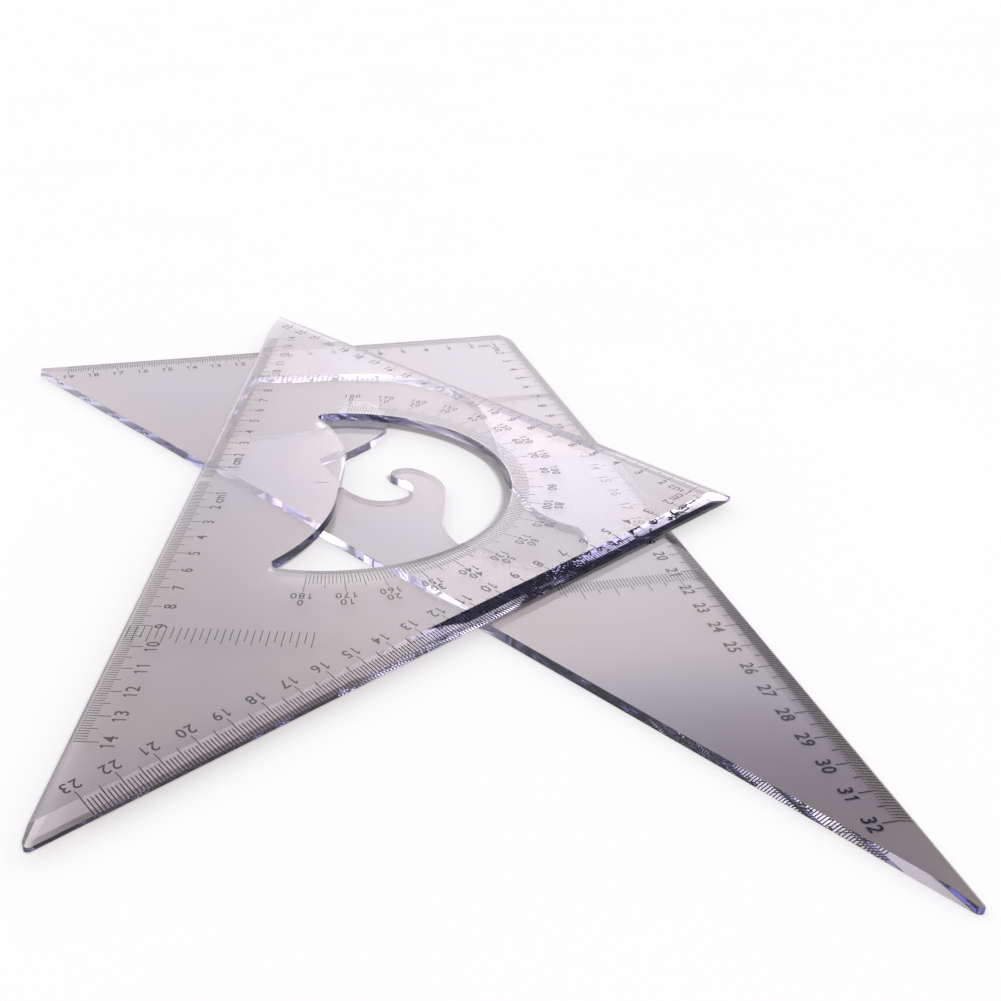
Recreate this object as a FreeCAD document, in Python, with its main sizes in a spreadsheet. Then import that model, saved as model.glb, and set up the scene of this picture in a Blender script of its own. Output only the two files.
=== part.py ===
import FreeCAD, Part
import Sketcher
import math
import os

V = FreeCAD.Vector
doc = FreeCAD.newDocument("set_squares")


# ---------------------------------------------------------------- sizes, millimetres and degrees
SIZES = (
    ("thick", 3, "thickness of each plate"),
    ("rim_thick", 1.2, "thickness left at a bevelled leg"),
    ("bevel_wide", 5, "width of the bevel, measured across the top face"),
    ("overrun", 1, "how far a cutting profile runs past the plate"),
    ("long_leg", 350, "long leg of the 30/60 plate; hypotenuse of the 45 plate"),
    ("heel_round", 3, "corner round at the right angle of the 30/60 plate"),
    ("corner_round", 1.2, "round on every other corner"),
    ("protractor_in", 91.4, "protractor centre, from each leg of the 45 plate"),
    ("bow_radius", 58.4, "radius of the opening's round side"),
    ("bow_drop", 1.8, "straight side of the opening, below the protractor centre"),
    ("bow_flat", 24, "length of that straight side"),
    ("bow_flare", 68, "radius of the flare at each end of it"),
    ("bow_tip", 3, "round where flare and bow meet"),
    ("stack_gap", 0.05, "film of air between the two plates, which are never quite flat"),
    ("lower_x", 88.006, "right-angle corner of the 30/60 plate"),
    ("lower_y", 152.923, "right-angle corner of the 30/60 plate"),
    ("lower_angle", 180, "its turn about the vertical"),
    ("upper_x", 113.626, "right-angle corner of the 45 plate"),
    ("upper_y", -19.117, "right-angle corner of the 45 plate"),
    ("upper_angle", 119.77, "its turn about the vertical"),
)
sheet = doc.addObject("Spreadsheet::Sheet", "sizes")
size = {}
for row, (alias, value, note) in enumerate(SIZES, start=1):
    sheet.set("A%d" % row, note)
    sheet.set("B%d" % row, str(value))
    sheet.setAlias("B%d" % row, alias)
    size[alias] = float(value)
doc.recompute()


# ---------------------------------------------------------------- sketches
def make_sketch(body, name, role, turn=0.0):
    """A sketch on one of the body's own planes, turned about the vertical."""
    plane = [f for f in body.Origin.OriginFeatures if f.Role == role][0]
    sketch = body.newObject("Sketcher::SketchObject", name)
    sketch.AttachmentSupport = [(plane, "")]
    sketch.MapMode = "FlatFace"
    upright = V(0, 0, 1) if role == "XY_Plane" else V(0, 1, 0)
    sketch.AttachmentOffset = FreeCAD.Placement(V(0, 0, 0), FreeCAD.Rotation(upright, turn))
    return sketch


def drive(sketch, name, expression, *where):
    """A named dimension on the sketch, bound to the size sheet."""
    index = sketch.addConstraint(Sketcher.Constraint(*where))
    sketch.renameConstraint(index, name)
    sketch.setExpression("Constraints." + name, expression)


def corner_sketch(body, name, leg_x, leg_y, leg_x_text, leg_y_text, heel_text, heel, tip):
    """A right triangle with its right angle at the origin and every corner rounded."""
    sketch = make_sketch(body, name, "XY_Plane")
    corners = (V(0, 0, 0), V(leg_x, 0, 0), V(0, leg_y, 0))
    rounds = (heel, tip, tip)
    centres = []
    starts = []
    ends = []
    for i in range(3):
        here = corners[i]
        back = (corners[i - 1] - here).normalize()
        ahead = (corners[(i + 1) % 3] - here).normalize()
        half = back.getAngle(ahead) / 2
        reach = rounds[i] / math.tan(half)
        starts.append(here + back * reach)
        ends.append(here + ahead * reach)
        middle = (back + ahead).normalize()
        centres.append(here + middle * (rounds[i] / math.sin(half)))
    for i in range(3):
        sketch.addGeometry(Part.LineSegment(ends[i], starts[(i + 1) % 3]), False)
    for i in range(3):
        first = starts[i] - centres[i]
        last = ends[i] - centres[i]
        circle = Part.Circle(centres[i], V(0, 0, 1), rounds[i])
        low = math.atan2(first.y, first.x)
        high = math.atan2(last.y, last.x)
        sketch.addGeometry(Part.ArcOfCircle(circle, low, high), False)
    for i in range(3):
        arc = 3 + i
        sketch.addConstraint(Sketcher.Constraint("Tangent", (i - 1) % 3, 2, arc, 1))
        sketch.addConstraint(Sketcher.Constraint("Tangent", arc, 2, i, 1))
    sketch.addConstraint(Sketcher.Constraint("PointOnObject", 0, 1, -1))
    sketch.addConstraint(Sketcher.Constraint("PointOnObject", 0, 2, -1))
    sketch.addConstraint(Sketcher.Constraint("PointOnObject", 2, 1, -2))
    sketch.addConstraint(Sketcher.Constraint("PointOnObject", 2, 2, -2))
    # the sharp corners the two legs are measured to
    sketch.addGeometry(Part.Point(corners[1]), True)
    sketch.addGeometry(Part.Point(corners[2]), True)
    sketch.addConstraint(Sketcher.Constraint("PointOnObject", 6, 1, -1))
    sketch.addConstraint(Sketcher.Constraint("PointOnObject", 7, 1, -2))
    sketch.addConstraint(Sketcher.Constraint("PointOnObject", 6, 1, 1))
    sketch.addConstraint(Sketcher.Constraint("PointOnObject", 7, 1, 1))
    drive(sketch, "leg_along_x", leg_x_text, "DistanceX", -1, 1, 6, 1, leg_x)
    drive(sketch, "leg_along_y", leg_y_text, "DistanceY", -1, 1, 7, 1, leg_y)
    drive(sketch, "heel", heel_text, "Radius", 3, heel)
    drive(sketch, "tip_one", "sizes.corner_round", "Radius", 4, tip)
    drive(sketch, "tip_two", "sizes.corner_round", "Radius", 5, tip)
    return sketch


def bevel(body, name, role):
    """Pares one leg down to the rim thickness, along its whole length."""
    sketch = make_sketch(body, name + "_profile", role)
    rise = size["thick"] - size["rim_thick"]
    over = size["overrun"]
    top = size["thick"] + over
    low = size["rim_thick"] - over * rise / size["bevel_wide"]
    inner = size["bevel_wide"] * (1 + over / rise)
    inner_text = "sizes.bevel_wide * (1 + sizes.overrun / (sizes.thick - sizes.rim_thick))"
    low_text = "sizes.rim_thick - sizes.overrun * (sizes.thick - sizes.rim_thick) / sizes.bevel_wide"
    outside = V(-over, low, 0)
    above = V(-over, top, 0)
    inside = V(inner, top, 0)
    sketch.addGeometry(Part.LineSegment(outside, above), False)
    sketch.addGeometry(Part.LineSegment(above, inside), False)
    sketch.addGeometry(Part.LineSegment(inside, outside), False)
    for i in range(3):
        sketch.addConstraint(Sketcher.Constraint("Coincident", i, 2, (i + 1) % 3, 1))
    sketch.addConstraint(Sketcher.Constraint("Vertical", 0))
    sketch.addConstraint(Sketcher.Constraint("Horizontal", 1))
    drive(sketch, "above", "sizes.thick + sizes.overrun", "DistanceY", -1, 1, 1, 1, top)
    drive(sketch, "lowest", low_text, "DistanceY", -1, 1, 0, 1, low)
    drive(sketch, "beyond", "sizes.overrun", "DistanceX", 0, 1, -1, 1, over)
    drive(sketch, "within", inner_text, "DistanceX", -1, 1, 1, 2, inner)
    cut = body.newObject("PartDesign::Pocket", name)
    cut.Profile = sketch
    cut.SideType = "Symmetric"
    cut.Length = 4 * size["long_leg"]
    cut.setExpression("Length", "4 * sizes.long_leg")
    return cut


def plate(body, sketch):
    pad = body.newObject("PartDesign::Pad", "blank")
    pad.Profile = sketch
    pad.Length = size["thick"]
    pad.setExpression("Length", "sizes.thick")
    return pad


def opening(body, sketch, name):
    cut = body.newObject("PartDesign::Pocket", name)
    cut.Profile = sketch
    cut.SideType = "Symmetric"
    cut.Length = 4 * size["thick"]
    cut.setExpression("Length", "4 * sizes.thick")
    return cut


def place(body, which, level):
    body.setExpression("Placement.Base.x", "sizes." + which + "_x")
    body.setExpression("Placement.Base.y", "sizes." + which + "_y")
    body.setExpression("Placement.Base.z", level)
    body.setExpression("Placement.Rotation.Angle", "sizes." + which + "_angle * 1 deg")


# ---------------------------------------------------------------- the 30/60 plate
# right angle at the origin, short leg along x, long leg along y
low_plate = doc.addObject("PartDesign::Body", "thirty_sixty_plate")
low_plate.Label = "thirty_sixty_plate"
short_leg = size["long_leg"] / math.sqrt(3)
low_outline = corner_sketch(
    low_plate,
    "low_outline",
    short_leg,
    size["long_leg"],
    "sizes.long_leg / sqrt(3)",
    "sizes.long_leg",
    "sizes.heel_round",
    size["heel_round"],
    size["corner_round"],
)
plate(low_plate, low_outline)
# only the long leg is pared; the short leg keeps a square edge
bevel(low_plate, "long_leg_bevel", "XZ_Plane")

# french-curve opening: smooth curves that meet in four corners, each through the points listed,
# in hundredths of the long leg
FRENCH_CURVE = (
    (
        (8.69, 52.14),
        (11.06, 48.86),
        (11.71, 44.57),
        (10.29, 30),
        (10.43, 22.29),
        (13.14, 16.43),
        (18, 12.29),
        (25.71, 10.66),
        (32.57, 9.14),
    ),
    ((32.57, 9.14), (35.29, 16.14), (37.57, 26)),
    (
        (37.57, 26),
        (30.86, 26.57),
        (27, 25.43),
        (25.14, 20.71),
        (22.71, 19.23),
        (20.51, 22.29),
        (21.29, 26.71),
        (24.29, 30),
        (28.86, 33.29),
    ),
    (
        (28.86, 33.29),
        (27.71, 38.43),
        (24.29, 42.57),
        (21.57, 41.86),
        (21.2, 39),
        (22.46, 36.86),
        (21.29, 35.97),
        (19, 37.43),
        (18, 40.57),
        (19.8, 48),
        (18.86, 53.43),
        (12.57, 57.86),
        (9.14, 56),
        (8.69, 52.14),
    ),
)
french = make_sketch(low_plate, "french_curve", "XY_Plane")
hundredth = size["long_leg"] / 100
for run in FRENCH_CURVE:
    curve = Part.BSplineCurve()
    curve.interpolate([V(x * hundredth, y * hundredth, 0) for x, y in run])
    french.addGeometry(curve, False)
for i in range(len(FRENCH_CURVE)):
    french.addConstraint(Sketcher.Constraint("Coincident", i, 2, (i + 1) % len(FRENCH_CURVE), 1))
opening(low_plate, french, "french_curve_opening")
place(low_plate, "lower", "0")

# ---------------------------------------------------------------- the 45 plate
# right angle at the origin, legs along x and y
top_plate = doc.addObject("PartDesign::Body", "forty_five_plate")
top_plate.Label = "forty_five_plate"
leg = size["long_leg"] / math.sqrt(2)
top_outline = corner_sketch(
    top_plate,
    "top_outline",
    leg,
    leg,
    "sizes.long_leg / sqrt(2)",
    "sizes.long_leg / sqrt(2)",
    "sizes.corner_round",
    size["corner_round"],
    size["corner_round"],
)
plate(top_plate, top_outline)
bevel(top_plate, "left_leg_bevel", "XZ_Plane")
bevel(top_plate, "right_leg_bevel", "YZ_Plane")

# protractor opening, symmetric about the line from the right angle to the hypotenuse
bow = make_sketch(top_plate, "protractor_bow", "XY_Plane", -45)
bow.setExpression("AttachmentOffset.Base.x", "sizes.protractor_in")
bow.setExpression("AttachmentOffset.Base.y", "sizes.protractor_in")
flat = size["bow_flat"] / 2
drop = size["bow_drop"]
flare = size["bow_flare"]
radius = size["bow_radius"]
tip = size["bow_tip"]
# centre of the tip round: inside the bow by its radius and inside the flare by its radius
flare_up = flare - drop
inner_bow = radius - tip
inner_flare = flare + tip
apart = math.hypot(flat, flare_up)
along = (inner_bow ** 2 - inner_flare ** 2 + apart ** 2) / (2 * apart)
aside = math.sqrt(inner_bow ** 2 - along ** 2)
unit = V(flat / apart, flare_up / apart, 0)
tip_x = unit.x * along + unit.y * aside
tip_y = unit.y * along - unit.x * aside
touch_bow = math.atan2(tip_y, tip_x)
touch_flare = math.atan2(tip_y - flare_up, tip_x - flat)
bow.addGeometry(Part.LineSegment(V(-flat, -drop, 0), V(flat, -drop, 0)), False)
right_flare = Part.Circle(V(flat, flare_up, 0), V(0, 0, 1), flare)
bow.addGeometry(Part.ArcOfCircle(right_flare, -math.pi / 2, touch_flare), False)
right_tip = Part.Circle(V(tip_x, tip_y, 0), V(0, 0, 1), tip)
bow.addGeometry(Part.ArcOfCircle(right_tip, touch_bow, touch_flare + math.pi), False)
round_side = Part.Circle(V(0, 0, 0), V(0, 0, 1), radius)
bow.addGeometry(Part.ArcOfCircle(round_side, math.pi - touch_bow, 2 * math.pi + touch_bow), False)
left_tip = Part.Circle(V(-tip_x, tip_y, 0), V(0, 0, 1), tip)
bow.addGeometry(Part.ArcOfCircle(left_tip, -touch_flare, math.pi - touch_bow), False)
left_flare = Part.Circle(V(-flat, flare_up, 0), V(0, 0, 1), flare)
bow.addGeometry(Part.ArcOfCircle(left_flare, math.pi - touch_flare, 1.5 * math.pi), False)
bow.addConstraint(Sketcher.Constraint("Tangent", 0, 2, 1, 1))
bow.addConstraint(Sketcher.Constraint("Tangent", 1, 2, 2, 2))
bow.addConstraint(Sketcher.Constraint("Tangent", 2, 1, 3, 2))
bow.addConstraint(Sketcher.Constraint("Tangent", 3, 1, 4, 2))
bow.addConstraint(Sketcher.Constraint("Tangent", 4, 1, 5, 1))
bow.addConstraint(Sketcher.Constraint("Tangent", 5, 2, 0, 1))
bow.addConstraint(Sketcher.Constraint("Coincident", 3, 3, -1, 1))
bow.addConstraint(Sketcher.Constraint("Symmetric", 0, 1, 0, 2, -2))
bow.addConstraint(Sketcher.Constraint("Equal", 1, 5))
bow.addConstraint(Sketcher.Constraint("Equal", 2, 4))
drive(bow, "bow", "sizes.bow_radius", "Radius", 3, radius)
drive(bow, "flare", "sizes.bow_flare", "Radius", 1, flare)
drive(bow, "tip", "sizes.bow_tip", "Radius", 2, tip)
drive(bow, "flat_length", "sizes.bow_flat", "DistanceX", 0, 1, 0, 2, 2 * flat)
drive(bow, "flat_drop", "sizes.bow_drop", "DistanceY", 0, 2, -1, 1, drop)
opening(top_plate, bow, "protractor_opening")
place(top_plate, "upper", "sizes.thick + sizes.stack_gap")

# ---------------------------------------------------------------- check and write
doc.recompute()
for item in doc.Objects:
    if "Invalid" in item.State or "Error" in item.State:
        raise RuntimeError("%s doesn't compute" % item.Name)
os.makedirs("parts", exist_ok=True)
for body in (low_plate, top_plate):
    shape = body.Shape
    if shape.isNull() or not shape.isValid() or len(shape.Solids) != 1:
        raise RuntimeError("%s isn't one sound solid" % body.Label)
    box = shape.optimalBoundingBox()
    print(body.Label, round(shape.Volume, 3))
    print("  low corner", round(box.XMin, 4), round(box.YMin, 4), round(box.ZMin, 4))
    print("  high corner", round(box.XMax, 4), round(box.YMax, 4), round(box.ZMax, 4))
    shape.exportStep("parts/" + body.Label + ".step")
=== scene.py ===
import math

import bmesh
import bpy
from mathutils import Matrix, Vector


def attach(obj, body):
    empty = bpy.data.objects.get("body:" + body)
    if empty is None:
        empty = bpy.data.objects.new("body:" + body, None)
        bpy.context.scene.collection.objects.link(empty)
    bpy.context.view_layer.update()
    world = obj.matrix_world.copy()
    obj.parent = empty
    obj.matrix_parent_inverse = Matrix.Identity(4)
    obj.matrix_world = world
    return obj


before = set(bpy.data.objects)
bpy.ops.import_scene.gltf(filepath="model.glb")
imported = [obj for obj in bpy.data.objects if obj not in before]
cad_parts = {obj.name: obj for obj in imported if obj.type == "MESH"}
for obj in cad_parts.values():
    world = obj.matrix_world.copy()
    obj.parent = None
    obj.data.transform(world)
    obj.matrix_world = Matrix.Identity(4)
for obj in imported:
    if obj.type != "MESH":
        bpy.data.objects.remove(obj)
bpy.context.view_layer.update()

MM = 0.001


# ---------------------------------------------------------------- the two plates' prints
# Each print is drawn in millimetres with the right angle at the origin, the legs along x and y,
# and z from the plate's underside. The print of the upper plate sits a little turned on it.
def print_frame(corner, turn):
    """Where a print's right-angle corner lies, in metres, and its turn in degrees."""
    return Matrix.Translation(corner) @ Matrix.Rotation(math.radians(turn), 4, "Z")


LOWER_PRINT = print_frame((0.088006, 0.152923, 0.0), 180)
UPPER_PRINT = print_frame((0.113736, -0.018197, 0.00305), 119.44)
# how much closer to its edge, or further, a scale comes with each millimetre along it
SLANT = 0.00576

LONG_LEG = 350.0
HALF = math.sqrt(0.5)
SHORT_LEG = LONG_LEG * HALF

# the ink: how deep it lies in the plate, how thick it is, and its line widths
INK_LOW = 0.04
INK_THICK = 0.05
LINE = 0.25
THIN_LINE = 0.2

# the scales along the edges: how far in each line ends, and the numbers beside them
TICKS = {"one": 4.2, "five": 5.7, "ten": 7.4}
DIGIT = 3.5
DIGIT_STEP = 2.65
DIGIT_DEPTH = 9.7
UNIT_STEP = 2.9
UNIT_ALONG = 14.6
SLOPE_UNIT_ALONG = 14.4

# the upper plate's ladders: rungs from the slope inwards
RUNGS = 26
RUNG_START = 90.3
RUNG_ENDS = (95.8, 97.6)
RUNG_DEPTH = 1.4
RUNG_STEP = 2

# the lower plate's ladders: a ruler of millimetres in from the long leg, at two heights
LADDERS = (210.2, 68.0)
LADDER_MARKS = range(3, 47)
LADDER_SHIFT = -0.4
LADDER_TICKS = {"one": 4.8, "five": 6.7, "ten": 8.6}

# the protractor: centre, turn, where its lines start and end, and its two rings of numbers
PROTRACTOR = (92.7, 92.3)
PROTRACTOR_TURN = 0.8
RING_START = 60.7
RING_TICKS = {"one": 65.8, "five": 67.8, "ten": 70.3}
RING_DIGIT = 2.9
RING_DIGIT_STEP = 2.3
INNER_NUMBERS = 72.4
OUTER_NUMBERS = 75.9
NINETY = 73.2
CENTRE_MARK = (91.3, 91.3)
CENTRE_MARK_RUN = (2.05, 7.3)


# ---------------------------------------------------------------- materials
class Value:
    """A socket that can be used in sums."""

    def __init__(self, paint, socket):
        self.paint = paint
        self.socket = socket

    def sum(self, operation, a, b):
        return self.paint.make("ShaderNodeMath", {"operation": operation}, {0: a, 1: b})

    def __add__(self, other):
        return self.sum("ADD", self, other)

    def __radd__(self, other):
        return self.sum("ADD", other, self)

    def __sub__(self, other):
        return self.sum("SUBTRACT", self, other)

    def __rsub__(self, other):
        return self.sum("SUBTRACT", other, self)

    def __mul__(self, other):
        return self.sum("MULTIPLY", self, other)

    def __rmul__(self, other):
        return self.sum("MULTIPLY", other, self)

    def below(self, limit):
        return self.sum("LESS_THAN", self, limit)

    def either(self, other):
        return self.sum("MAXIMUM", self, other)

    def size(self):
        return self.paint.make("ShaderNodeMath", {"operation": "ABSOLUTE"}, {0: self})


class Paint:
    """A material or a world, and the nodes that make it."""

    def __init__(self, owner):
        self.owner = owner
        owner.use_nodes = True
        self.tree = owner.node_tree
        self.tree.nodes.clear()

    def feed(self, socket, value):
        if isinstance(value, Value):
            self.tree.links.new(value.socket, socket)
        else:
            socket.default_value = value

    def make(self, kind, settings, sockets, out=0):
        """A node with its settings and what goes into its sockets; gives one output."""
        node = self.tree.nodes.new(kind)
        for key, value in settings.items():
            setattr(node, key, value)
        for key, value in sockets.items():
            self.feed(node.inputs[key], value)
        return Value(self, node.outputs[out])

    def place(self, stretch=(1, 1, 1)):
        spot = self.make("ShaderNodeTexCoord", {}, {}, "Object")
        return self.make("ShaderNodeMapping", {}, {"Vector": spot, "Scale": stretch})

    def noise(self, scale, detail=2.0, stretch=(1, 1, 1)):
        sockets = {"Vector": self.place(stretch), "Scale": scale, "Detail": detail}
        return self.make("ShaderNodeTexNoise", {}, sockets)

    def ramp(self, value, low, high):
        """0 where the value is low, 1 where it is high, smooth between."""
        sockets = {"Value": value, "From Min": low, "From Max": high}
        return self.make("ShaderNodeMapRange", {"interpolation_type": "SMOOTHSTEP"}, sockets)

    def blend(self, share, first, second):
        """The first colour where the share is 0, the second where it is 1."""
        node = self.tree.nodes.new("ShaderNodeMix")
        node.data_type = "RGBA"
        for name, kind, value in (
            ("Factor", "VALUE", share),
            ("A", "RGBA", first),
            ("B", "RGBA", second),
        ):
            self.feed([i for i in node.inputs if i.name == name and i.type == kind][0], value)
        return Value(self, [o for o in node.outputs if o.type == "RGBA"][0])

    def finish(self, surface, volume=None, output="ShaderNodeOutputMaterial"):
        node = self.tree.nodes.new(output)
        self.tree.links.new(surface.socket, node.inputs["Surface"])
        if volume:
            self.tree.links.new(volume.socket, node.inputs["Volume"])
        return self.owner


def background_rays(paint):
    """1 for what is seen straight, and 1 for what is seen mirrored or through a plate."""
    seen, gloss, through = [
        paint.make("ShaderNodeLightPath", {}, {}, name)
        for name in ("Is Camera Ray", "Is Glossy Ray", "Is Transmission Ray")
    ]
    unscattered = paint.make("ShaderNodeLightPath", {}, {}, "Diffuse Depth").below(0.5)
    return seen, gloss.either(through) * unscattered


def clear_acrylic():
    """Clear sheet with a faint lilac tint and a slight ripple of its faces; painted shade darkens it
    towards -Y, and its cut edges carry a painted reflection, darker and bluer.
    """
    paint = Paint(bpy.data.materials.new("clear_acrylic"))
    tint_and_painted_shade = paint.blend(
        paint.ramp(paint.noise(22.0, 1.0), 0.35, 0.65),
        (0.98, 0.92, 0.925, 1),
        (0.94, 0.925, 0.955, 1),
    )
    upright = paint.make("ShaderNodeTexCoord", {}, {}, "Normal")
    upright = paint.make("ShaderNodeSeparateXYZ", {}, {"Vector": upright}, "Z").size()
    wall = 1 - paint.ramp(upright, 0.1, 0.5)
    # painted shade: the sheet is a little darker towards the tips of -Y, nearest the camera,
    # standing in for the floor under it lying in less light there
    spot = paint.make("ShaderNodeTexCoord", {}, {}, "Object")
    spot = paint.make("ShaderNodeSeparateXYZ", {}, {"Vector": spot}, "Y")
    tint_and_painted_shade = paint.blend(1 - paint.ramp(spot, -0.21, 0.02), tint_and_painted_shade, (0.83, 0.775, 0.77, 1))
    # painted reflection: the upright cut edges get a darker, bluer colour in place of the navy
    # reflections they show
    colour = paint.blend(wall, tint_and_painted_shade, (0.86, 0.84, 0.95, 1))
    scuffs = paint.ramp(paint.noise(90.0, 4.0, (1, 6, 1)), 0.55, 0.8)
    height = paint.noise(60.0, 1.0) * (1 - wall)
    ripple = paint.make(
        "ShaderNodeBump", {}, {"Height": height, "Strength": 0.01, "Distance": 0.0004}
    )
    body = paint.make(
        "ShaderNodeBsdfPrincipled",
        {},
        {
            "Base Color": colour,
            "Roughness": 0.015 * scuffs,
            "IOR": 1.49,
            "Transmission Weight": 1.0,
            "Normal": ripple,
        },
    )
    depth = paint.make(
        "ShaderNodeVolumeAbsorption", {}, {"Color": (0.2, 0.15, 0.65, 1), "Density": 7.0}
    )
    return paint.finish(body, depth)


def printing_ink():
    """Brown-black screen ink, a little thin in places."""
    paint = Paint(bpy.data.materials.new("printing_ink"))
    colour = paint.blend(
        paint.noise(700.0, 3.0), (0.018, 0.014, 0.016, 1), (0.05, 0.042, 0.046, 1)
    )
    body = paint.make(
        "ShaderNodeBsdfPrincipled", {}, {"Base Color": colour, "Roughness": 0.55}
    )
    return paint.finish(body)


def white_floor():
    paint = Paint(bpy.data.materials.new("white_floor"))
    tone = paint.blend(paint.noise(8.0), (0.965, 0.965, 0.965, 1), (0.975, 0.975, 0.975, 1))
    body = paint.make(
        "ShaderNodeBsdfPrincipled",
        {},
        {"Base Color": tone, "Roughness": 1.0, "Specular IOR Level": 0.0},
    )
    return paint.finish(body)


acrylic = clear_acrylic()
ink = printing_ink()
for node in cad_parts.values():
    node.data.materials.clear()
    node.data.materials.append(acrylic)


# ---------------------------------------------------------------- printing
def bar(start, end, width, thick, middle_z):
    """The matrix that turns a unit cube into a straight bar from start to end."""
    start = Vector(start)
    end = Vector(end)
    run = end - start
    middle = (start + end) / 2
    return (
        Matrix.Translation((middle.x, middle.y, middle_z))
        @ Matrix.Rotation(math.atan2(run.y, run.x), 4, "Z")
        @ Matrix.Diagonal((run.length, width, thick, 1))
    )


def add_line(mesh, start, end, width=LINE):
    """A printed line from start to end on the plate's drawing."""
    place = bar(start, end, width, INK_THICK, INK_LOW + INK_THICK / 2)
    bmesh.ops.create_cube(mesh, size=1, matrix=place)


GLYPHS = {}
CAPITAL = 0.69
STROKE = 0.13
# a figure 1: a plain stem with a short flag
ONE = (((0.04, 0), (0.04, 1)), ((0.06, 0.97), (-0.2, 0.76)))


def glyph(letter):
    """The mesh of one letter, one high from the middle of its foot, one thick."""
    if letter not in GLYPHS:
        curve = bpy.data.curves.new("glyph", "FONT")
        curve.body = letter
        curve.align_x = "CENTER"
        curve.size = 1 / CAPITAL
        curve.resolution_u = 3
        curve.extrude = 0.5
        curve.offset = 0.012
        holder = bpy.data.objects.new("glyph", curve)
        bpy.context.collection.objects.link(holder)
        bpy.context.view_layer.update()
        GLYPHS[letter] = bpy.data.meshes.new_from_object(
            holder.evaluated_get(bpy.context.evaluated_depsgraph_get())
        )
        bpy.data.objects.remove(holder)
    return GLYPHS[letter]


def add_text(mesh, text, place, up, height=DIGIT, step=DIGIT_STEP, narrow=0.92):
    """Text centred on place, the tops of its letters towards up."""
    up = Vector(up).normalized()
    along = Vector((up.y, -up.x))
    for index, letter in enumerate(text):
        foot = Vector(place) + along * (index - (len(text) - 1) / 2) * step - up * height / 2
        wide = height * narrow
        turn = Matrix(
            (
                (along.x * wide, up.x * height, 0, foot.x),
                (along.y * wide, up.y * height, 0, foot.y),
                (0, 0, INK_THICK, INK_LOW + INK_THICK / 2),
                (0, 0, 0, 1),
            )
        )
        if letter == "1":
            for start, end in ONE:
                bmesh.ops.create_cube(mesh, size=1, matrix=turn @ bar(start, end, STROKE, 1, 0))
            continue
        old = set(mesh.verts)
        mesh.from_mesh(glyph(letter))
        fresh = [vert for vert in mesh.verts if vert not in old]
        bmesh.ops.transform(mesh, matrix=turn, verts=fresh)


def print_on(name, mesh, plate, body):
    """Turns a drawing into a printed piece on its plate."""
    bmesh.ops.scale(mesh, vec=(MM, MM, MM), verts=mesh.verts)
    bmesh.ops.transform(mesh, matrix=plate, verts=mesh.verts)
    data = bpy.data.meshes.new(name)
    mesh.to_mesh(data)
    mesh.free()
    data.materials.append(ink)
    piece = bpy.data.objects.new(name, data)
    bpy.context.collection.objects.link(piece)
    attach(piece, body)


class Edge:
    """A scaled edge: where its zero lies, its heading, the way inwards, and how deep lines start."""

    def __init__(self, zero, heading, inside, start=0.3, slant=0.0):
        self.zero = Vector(zero)
        self.heading = Vector(heading)
        self.inside = Vector(inside)
        self.start = start
        self.slant = slant

    def spot(self, along, inward):
        return self.zero + self.heading * along + self.inside * inward

    def outset(self, along):
        return self.start + self.slant * along


def rank(mark):
    """Whether a line stands for one, five or ten of its units."""
    return "one" if mark % 5 else ("five" if mark % 10 else "ten")


def add_scale(lines, words, edge, first, last):
    """Millimetre lines and centimetre numbers along one edge."""
    for mark in range(first, last + 1):
        reach = TICKS[rank(mark)]
        # the first lines of a leg end where the two legs' scales would meet
        if first == 0:
            reach = min(reach, mark * 0.9)
        if abs(mark) > 1:
            add_line(lines, edge.spot(mark, edge.outset(mark)), edge.spot(mark, reach))
    for mark in range(first - first % 10, last + 1, 10):
        if abs(mark) > 10 or (abs(mark) == 10 and first < 0):
            add_text(words, str(abs(mark) // 10), edge.spot(mark, DIGIT_DEPTH), -edge.inside)


def add_corner(words):
    """The 1 that both legs share, and the unit after it on each leg."""
    add_text(words, "1", (DIGIT_DEPTH, DIGIT_DEPTH), (0, -1))
    add_text(words, "cm", (DIGIT_DEPTH, UNIT_ALONG), (-1, 0), step=UNIT_STEP)
    add_text(words, "cm", (UNIT_ALONG, DIGIT_DEPTH), (0, -1), step=UNIT_STEP)


# ---------------------------------------------------------------- the 45 plate's scales
lines = bmesh.new()
words = bmesh.new()
add_scale(lines, words, Edge((0, 0), (0, 1), (1, 0), -0.45, -SLANT), 0, 230)
add_scale(lines, words, Edge((0, 0), (1, 0), (0, 1), 0.85, SLANT), 0, 230)
slope = Edge((SHORT_LEG / 2, SHORT_LEG / 2), (-HALF, HALF), (-HALF, -HALF), 0.44, SLANT)
add_scale(lines, words, slope, -140, 140)
add_corner(words)
for side in (-1, 1):
    unit = slope.spot(side * SLOPE_UNIT_ALONG, DIGIT_DEPTH)
    add_text(words, "cm", unit, -slope.inside, step=UNIT_STEP)
    for rung in range(RUNGS):
        depth = RUNG_DEPTH + RUNG_STEP * rung
        end = slope.spot(side * RUNG_ENDS[rung % 2], depth)
        add_line(lines, slope.spot(side * RUNG_START, depth), end)
print_on("upper_scales", lines, UPPER_PRINT, "upper_set_square")
print_on("upper_numbers", words, UPPER_PRINT, "upper_set_square")

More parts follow.
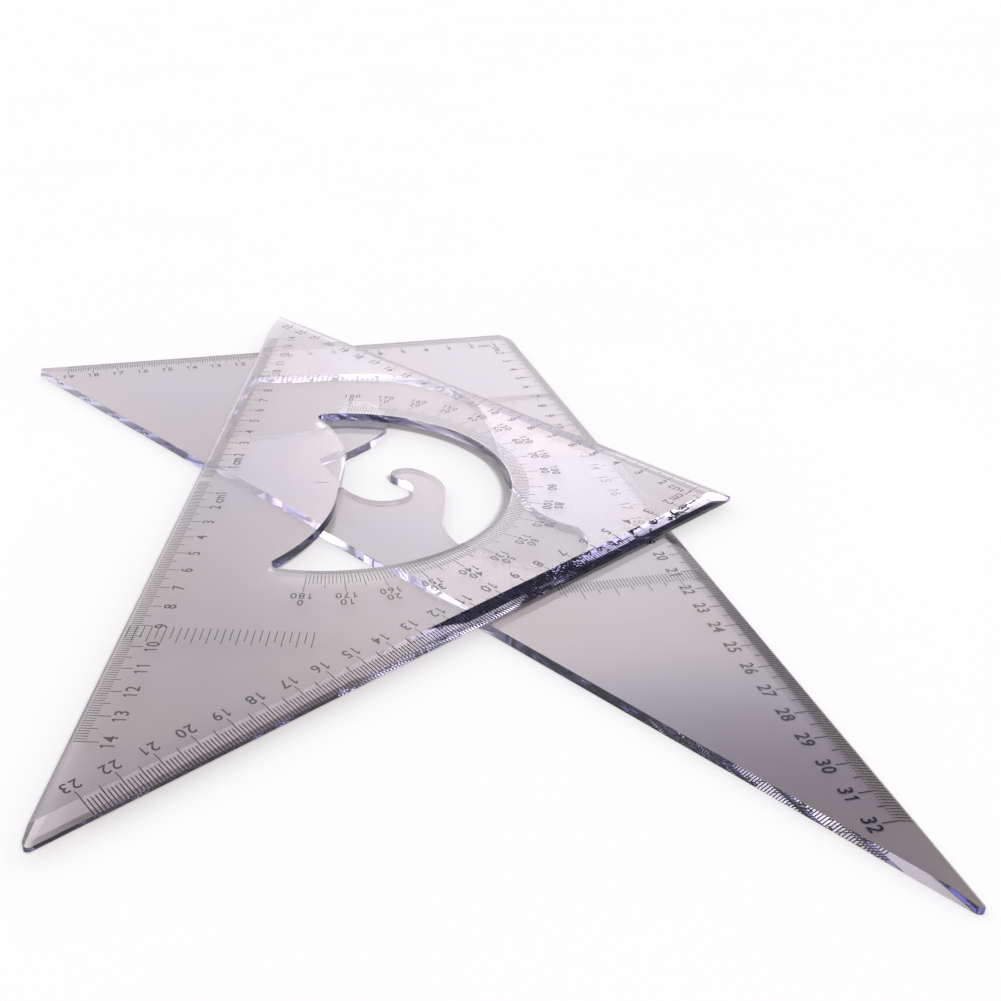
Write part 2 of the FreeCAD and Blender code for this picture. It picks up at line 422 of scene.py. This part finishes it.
# ---------------------------------------------------------------- the protractor
# 0 to 180 degrees both ways round, from one end of the slope to the other
lines = bmesh.new()
words = bmesh.new()
centre = Vector(PROTRACTOR)
for degree in range(181):
    turn = math.radians(135 + PROTRACTOR_TURN + degree)
    way = Vector((math.cos(turn), math.sin(turn)))
    reach = RING_TICKS[rank(degree)]
    add_line(lines, centre + way * RING_START, centre + way * reach, THIN_LINE)
    if degree == 90:
        rings = ((NINETY, 90),)
    elif degree % 10 == 0:
        rings = ((INNER_NUMBERS, 180 - degree), (OUTER_NUMBERS, degree))
    else:
        continue
    for radius, number in rings:
        add_text(words, str(number), centre + way * radius, way, RING_DIGIT, RING_DIGIT_STEP)
centre = Vector(CENTRE_MARK)
start, end = [centre + Vector((HALF, HALF)) * run for run in CENTRE_MARK_RUN]
add_line(lines, start, end, THIN_LINE)
print_on("protractor_lines", lines, UPPER_PRINT, "upper_set_square")
print_on("protractor_numbers", words, UPPER_PRINT, "upper_set_square")

# ---------------------------------------------------------------- the 30/60 plate's scales
lines = bmesh.new()
words = bmesh.new()
add_scale(lines, words, Edge((0, 0), (0, 1), (1, 0)), 0, 320)
add_scale(lines, words, Edge((0, 0), (1, 0), (0, 1)), 0, 190)
add_corner(words)
for foot in LADDERS:
    for mark in LADDER_MARKS:
        across = mark + LADDER_SHIFT
        add_line(lines, (across, foot), (across, foot + LADDER_TICKS[rank(mark)]), THIN_LINE)
print_on("lower_scales", lines, LOWER_PRINT, "lower_set_square")
print_on("lower_numbers", words, LOWER_PRINT, "lower_set_square")

# ---------------------------------------------------------------- floor
mesh = bmesh.new()
bmesh.ops.create_grid(mesh, x_segments=1, y_segments=1, size=6.0)
bmesh.ops.translate(mesh, verts=mesh.verts, vec=(0, 0, -0.0002))
data = bpy.data.meshes.new("floor")
mesh.to_mesh(data)
mesh.free()
floor = bpy.data.objects.new("floor", data)
bpy.context.collection.objects.link(floor)
data.materials.append(white_floor())

# ---------------------------------------------------------------- light
# AMBIENT lights the scene, and behind it all is plain white. The plates mirror something else:
# white panels, brightest in the middle and ending at the right, under a dimmer, bluer ceiling
AMBIENT = 0.6
CEILING = 0.3
PANEL = 1.55
GLOW = 1.1
GLOW_MIDDLE = (0.27, 0.5, 0)
paint = Paint(bpy.data.worlds.new("studio"))
seen, mirrored = background_rays(paint)
way = paint.make("ShaderNodeTexCoord", {}, {}, "Generated")
east, north, up = [
    paint.make("ShaderNodeSeparateXYZ", {}, {"Vector": way}, axis) for axis in "XYZ"
]
facing = paint.make("ShaderNodeCombineXYZ", {}, {"X": east, "Y": up})
glow = paint.make(
    "ShaderNodeVectorMath", {"operation": "DISTANCE"}, {0: facing, 1: GLOW_MIDDLE}, "Value"
)
panels = PANEL + GLOW * (1 - paint.ramp(glow, 0.04, 0.3))
panels = panels * (0.5 + 0.5 * paint.ramp(north, -0.3, 0.3))
panels = panels * (1 - 0.8 * paint.ramp(east, 0.5, 0.68))
above = paint.ramp(up + 0.12 * east, 0.58, 0.69)
wall = panels + (CEILING - panels) * above
sky = paint.make(
    "ShaderNodeBackground",
    {},
    {
        "Color": paint.blend(above * mirrored, (1, 0.975, 1, 1), (0.45, 0.5, 1, 1)),
        "Strength": AMBIENT + (1 - AMBIENT) * seen + (wall - AMBIENT) * mirrored,
    },
)
bpy.context.scene.world = paint.finish(sky, output="ShaderNodeOutputWorld")

# the sun only lights and casts the plates' shadow on the floor
SUN_TILT = math.radians(48)
sun = bpy.data.lights.new("key", "SUN")
sun.energy = 1.36 / math.cos(SUN_TILT)
sun.angle = math.radians(10)
key = bpy.data.objects.new("key", sun)
key.rotation_euler = (SUN_TILT, 0, math.radians(12))
key.visible_glossy = False
key.visible_transmission = False
bpy.context.collection.objects.link(key)

# ---------------------------------------------------------------- camera
lens = bpy.data.cameras.new("camera")
lens.sensor_width = 36
lens.lens = 44.415
lens.shift_x = 0.10006
lens.shift_y = 0.01008
lens.clip_start = 0.01
camera = bpy.data.objects.new("camera", lens)
camera.location = (-0.060629, -0.348797, 0.184109)
camera.rotation_euler = [math.radians(angle) for angle in (62.7357, 0.3543, -11.3170)]
bpy.context.collection.objects.link(camera)
bpy.context.scene.camera = camera
bpy.context.scene.view_settings.view_transform = "Standard"
# light runs many times to and fro inside the sheets before it leaves at an edge
BOUNCES = 96
for kind in ("max_bounces", "glossy_bounces", "transmission_bounces"):
    setattr(bpy.context.scene.cycles, kind, BOUNCES)
